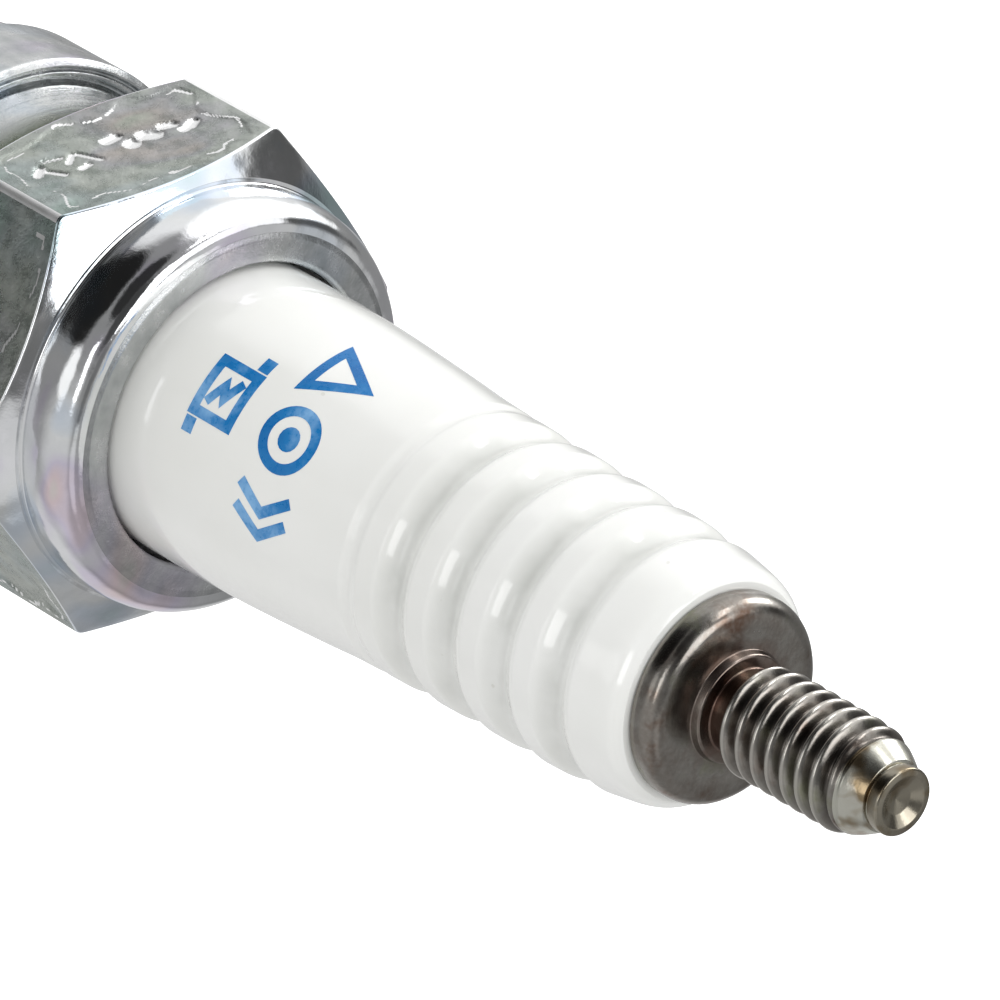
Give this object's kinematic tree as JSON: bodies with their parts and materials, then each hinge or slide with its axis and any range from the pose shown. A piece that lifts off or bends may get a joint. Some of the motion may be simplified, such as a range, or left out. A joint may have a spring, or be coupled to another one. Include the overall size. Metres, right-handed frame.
{
  "type": "spark plug",
  "caption": "Threaded motorcycle spark plug with hexagon shell, ribbed ceramic insulator, captive folded gasket and fixed threaded terminal stud.",
  "frame": {"origin": "centre of the shell's seat plane, which presses on the gasket", "axes": "+Z along the plug's axis towards the terminal; +X towards the weld of the ground electrode; the hexagon's flats are square to Y"},
  "size_m": [0.0184, 0.0164, 0.0724],
  "materials": {
    "plated_shell": "bright zinc plating, satin on turned faces, polished on the crimp shoulder",
    "nickel_alloy": "bare nickel alloy, drawn",
    "gasket_steel": "plated sheet steel, satin",
    "packing_steel": "plain steel wire and sheet",
    "talc": "pressed powder, matte",
    "glazed_alumina": "white alumina with a clear gloss glaze",
    "copper": "bare copper",
    "seal_glass": "fused copper and glass powder, matte",
    "resistor_mix": "fused carbon and glass powder, matte",
    "nickel_plated_stud": "dark bright nickel plating over steel"
  },
  "bodies": {
    "plug": {"shell": "plated_shell", "ground_electrode": "nickel_alloy", "seat_packing": "packing_steel", "lower_packing_ring": "packing_steel", "upper_packing_ring": "packing_steel", "talc_fill": "talc", "insulator": "glazed_alumina", "centre_electrode": "nickel_alloy", "copper_core": "copper", "lower_glass_seal": "seal_glass", "resistor": "resistor_mix", "upper_glass_seal": "seal_glass", "terminal_stud": "nickel_plated_stud"},
    "gasket_ring": {"gasket": "gasket_steel"}
  },
  "joints": [
    {"name": "gasket_spin", "type": "hinge", "parent": "plug", "child": "gasket_ring", "pos_m": [0, 0, -0.0011], "axis": [0, 0, 1], "continuous": true}
  ]
}
